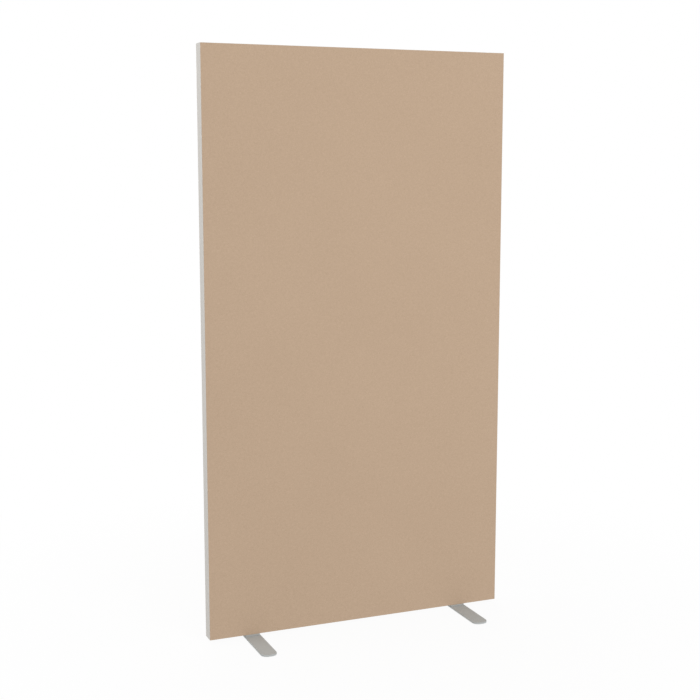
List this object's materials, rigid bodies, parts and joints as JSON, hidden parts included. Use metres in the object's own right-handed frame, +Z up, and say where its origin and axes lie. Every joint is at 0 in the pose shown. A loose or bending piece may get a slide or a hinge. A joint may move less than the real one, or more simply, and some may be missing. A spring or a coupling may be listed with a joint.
{
  "type": "partition screen",
  "caption": "Free-standing partition screen: a tall flat fabric-covered panel in a slim aluminium frame, standing on flat steel feet.",
  "frame": {"origin": "on the floor, midway under the panel", "axes": "+Z up, +X along the panel towards the right edge seen from the front, +Y from the front face to the back face"},
  "size_m": [0.94, 0.36, 1.712],
  "materials": {
    "frame_coating": "satin",
    "cast_key": "matte",
    "zinc_steel": "satin",
    "woven_fabric": "matte",
    "bead_rubber": "matte",
    "acoustic_felt": "matte",
    "foot_coating": "satin",
    "spacer_plastic": "matte",
    "pad_rubber": "matte"
  },
  "bodies": {
    "root": {"back_bead_bottom": "bead_rubber", "back_bead_left": "bead_rubber", "back_bead_right": "bead_rubber", "back_bead_top": "bead_rubber", "back_fabric": "woven_fabric", "bottom_rail": "frame_coating", "brace_bracket_left": "zinc_steel", "brace_bracket_right": "zinc_steel", "brace_bracket_screws": "zinc_steel", "corner_key_bottom_left": "cast_key", "corner_key_bottom_right": "cast_key", "corner_key_screws": "zinc_steel", "corner_key_top_left": "cast_key", "corner_key_top_right": "cast_key", "cross_brace": "frame_coating", "foot_screws": "zinc_steel", "front_bead_bottom": "bead_rubber", "front_bead_left": "bead_rubber", "front_bead_right": "bead_rubber", "front_bead_top": "bead_rubber", "front_fabric": "woven_fabric", "left_foot": "foot_coating", "left_foot_pads": "pad_rubber", "left_foot_spacer": "spacer_plastic", "left_nut_plate": "zinc_steel", "left_stile": "frame_coating", "lower_acoustic_board": "acoustic_felt", "right_foot": "foot_coating", "right_foot_pads": "pad_rubber", "right_foot_spacer": "spacer_plastic", "right_nut_plate": "zinc_steel", "right_stile": "frame_coating", "top_rail": "frame_coating", "upper_acoustic_board": "acoustic_felt"}
  },
  "joints": []
}
